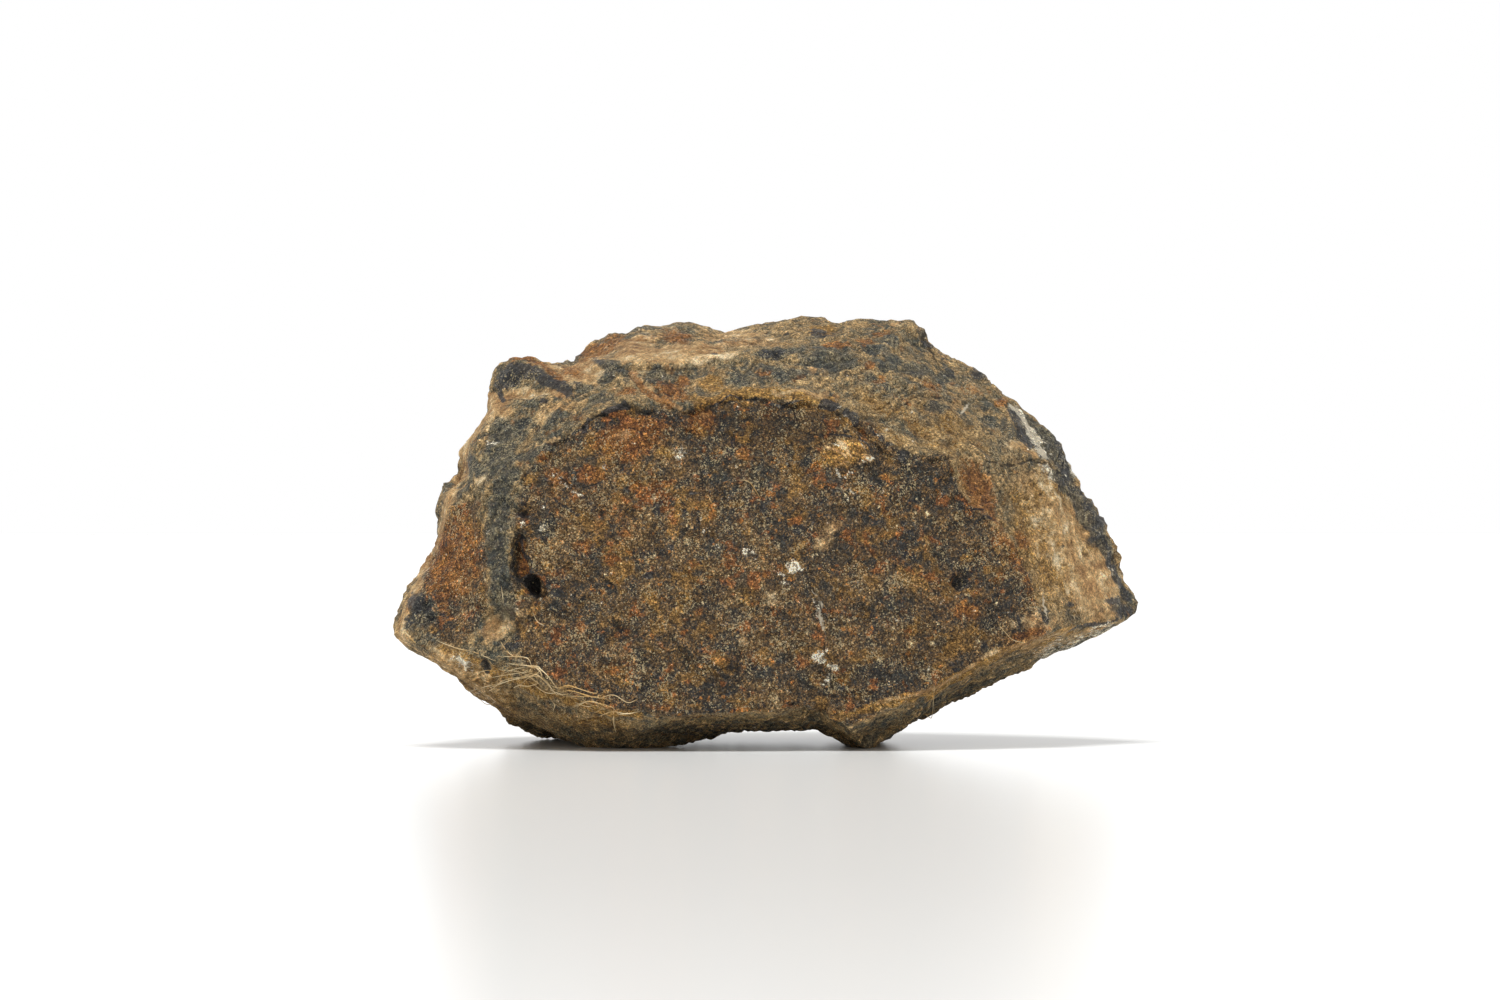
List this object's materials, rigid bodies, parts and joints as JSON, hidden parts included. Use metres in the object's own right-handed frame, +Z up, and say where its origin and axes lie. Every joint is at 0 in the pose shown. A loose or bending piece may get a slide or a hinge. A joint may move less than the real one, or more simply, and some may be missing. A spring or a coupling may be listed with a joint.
{
  "type": "iron meteorite",
  "caption": "Angular weathered meteorite in one piece, with one broad flat fracture face, resting on small flat spots.",
  "frame": {"origin": "middle of the bounding box, on the surface that the stone rests on", "axes": "+Z up, -Y out of the broad flat fracture face, +X towards the stone's right-hand end as that face is seen"},
  "size_m": [0.0658, 0.0366, 0.0385],
  "materials": {
    "weathered_iron": "rough, rusted and partly clay-coated"
  },
  "bodies": {
    "root": {"meteorite": "weathered_iron"}
  },
  "joints": []
}
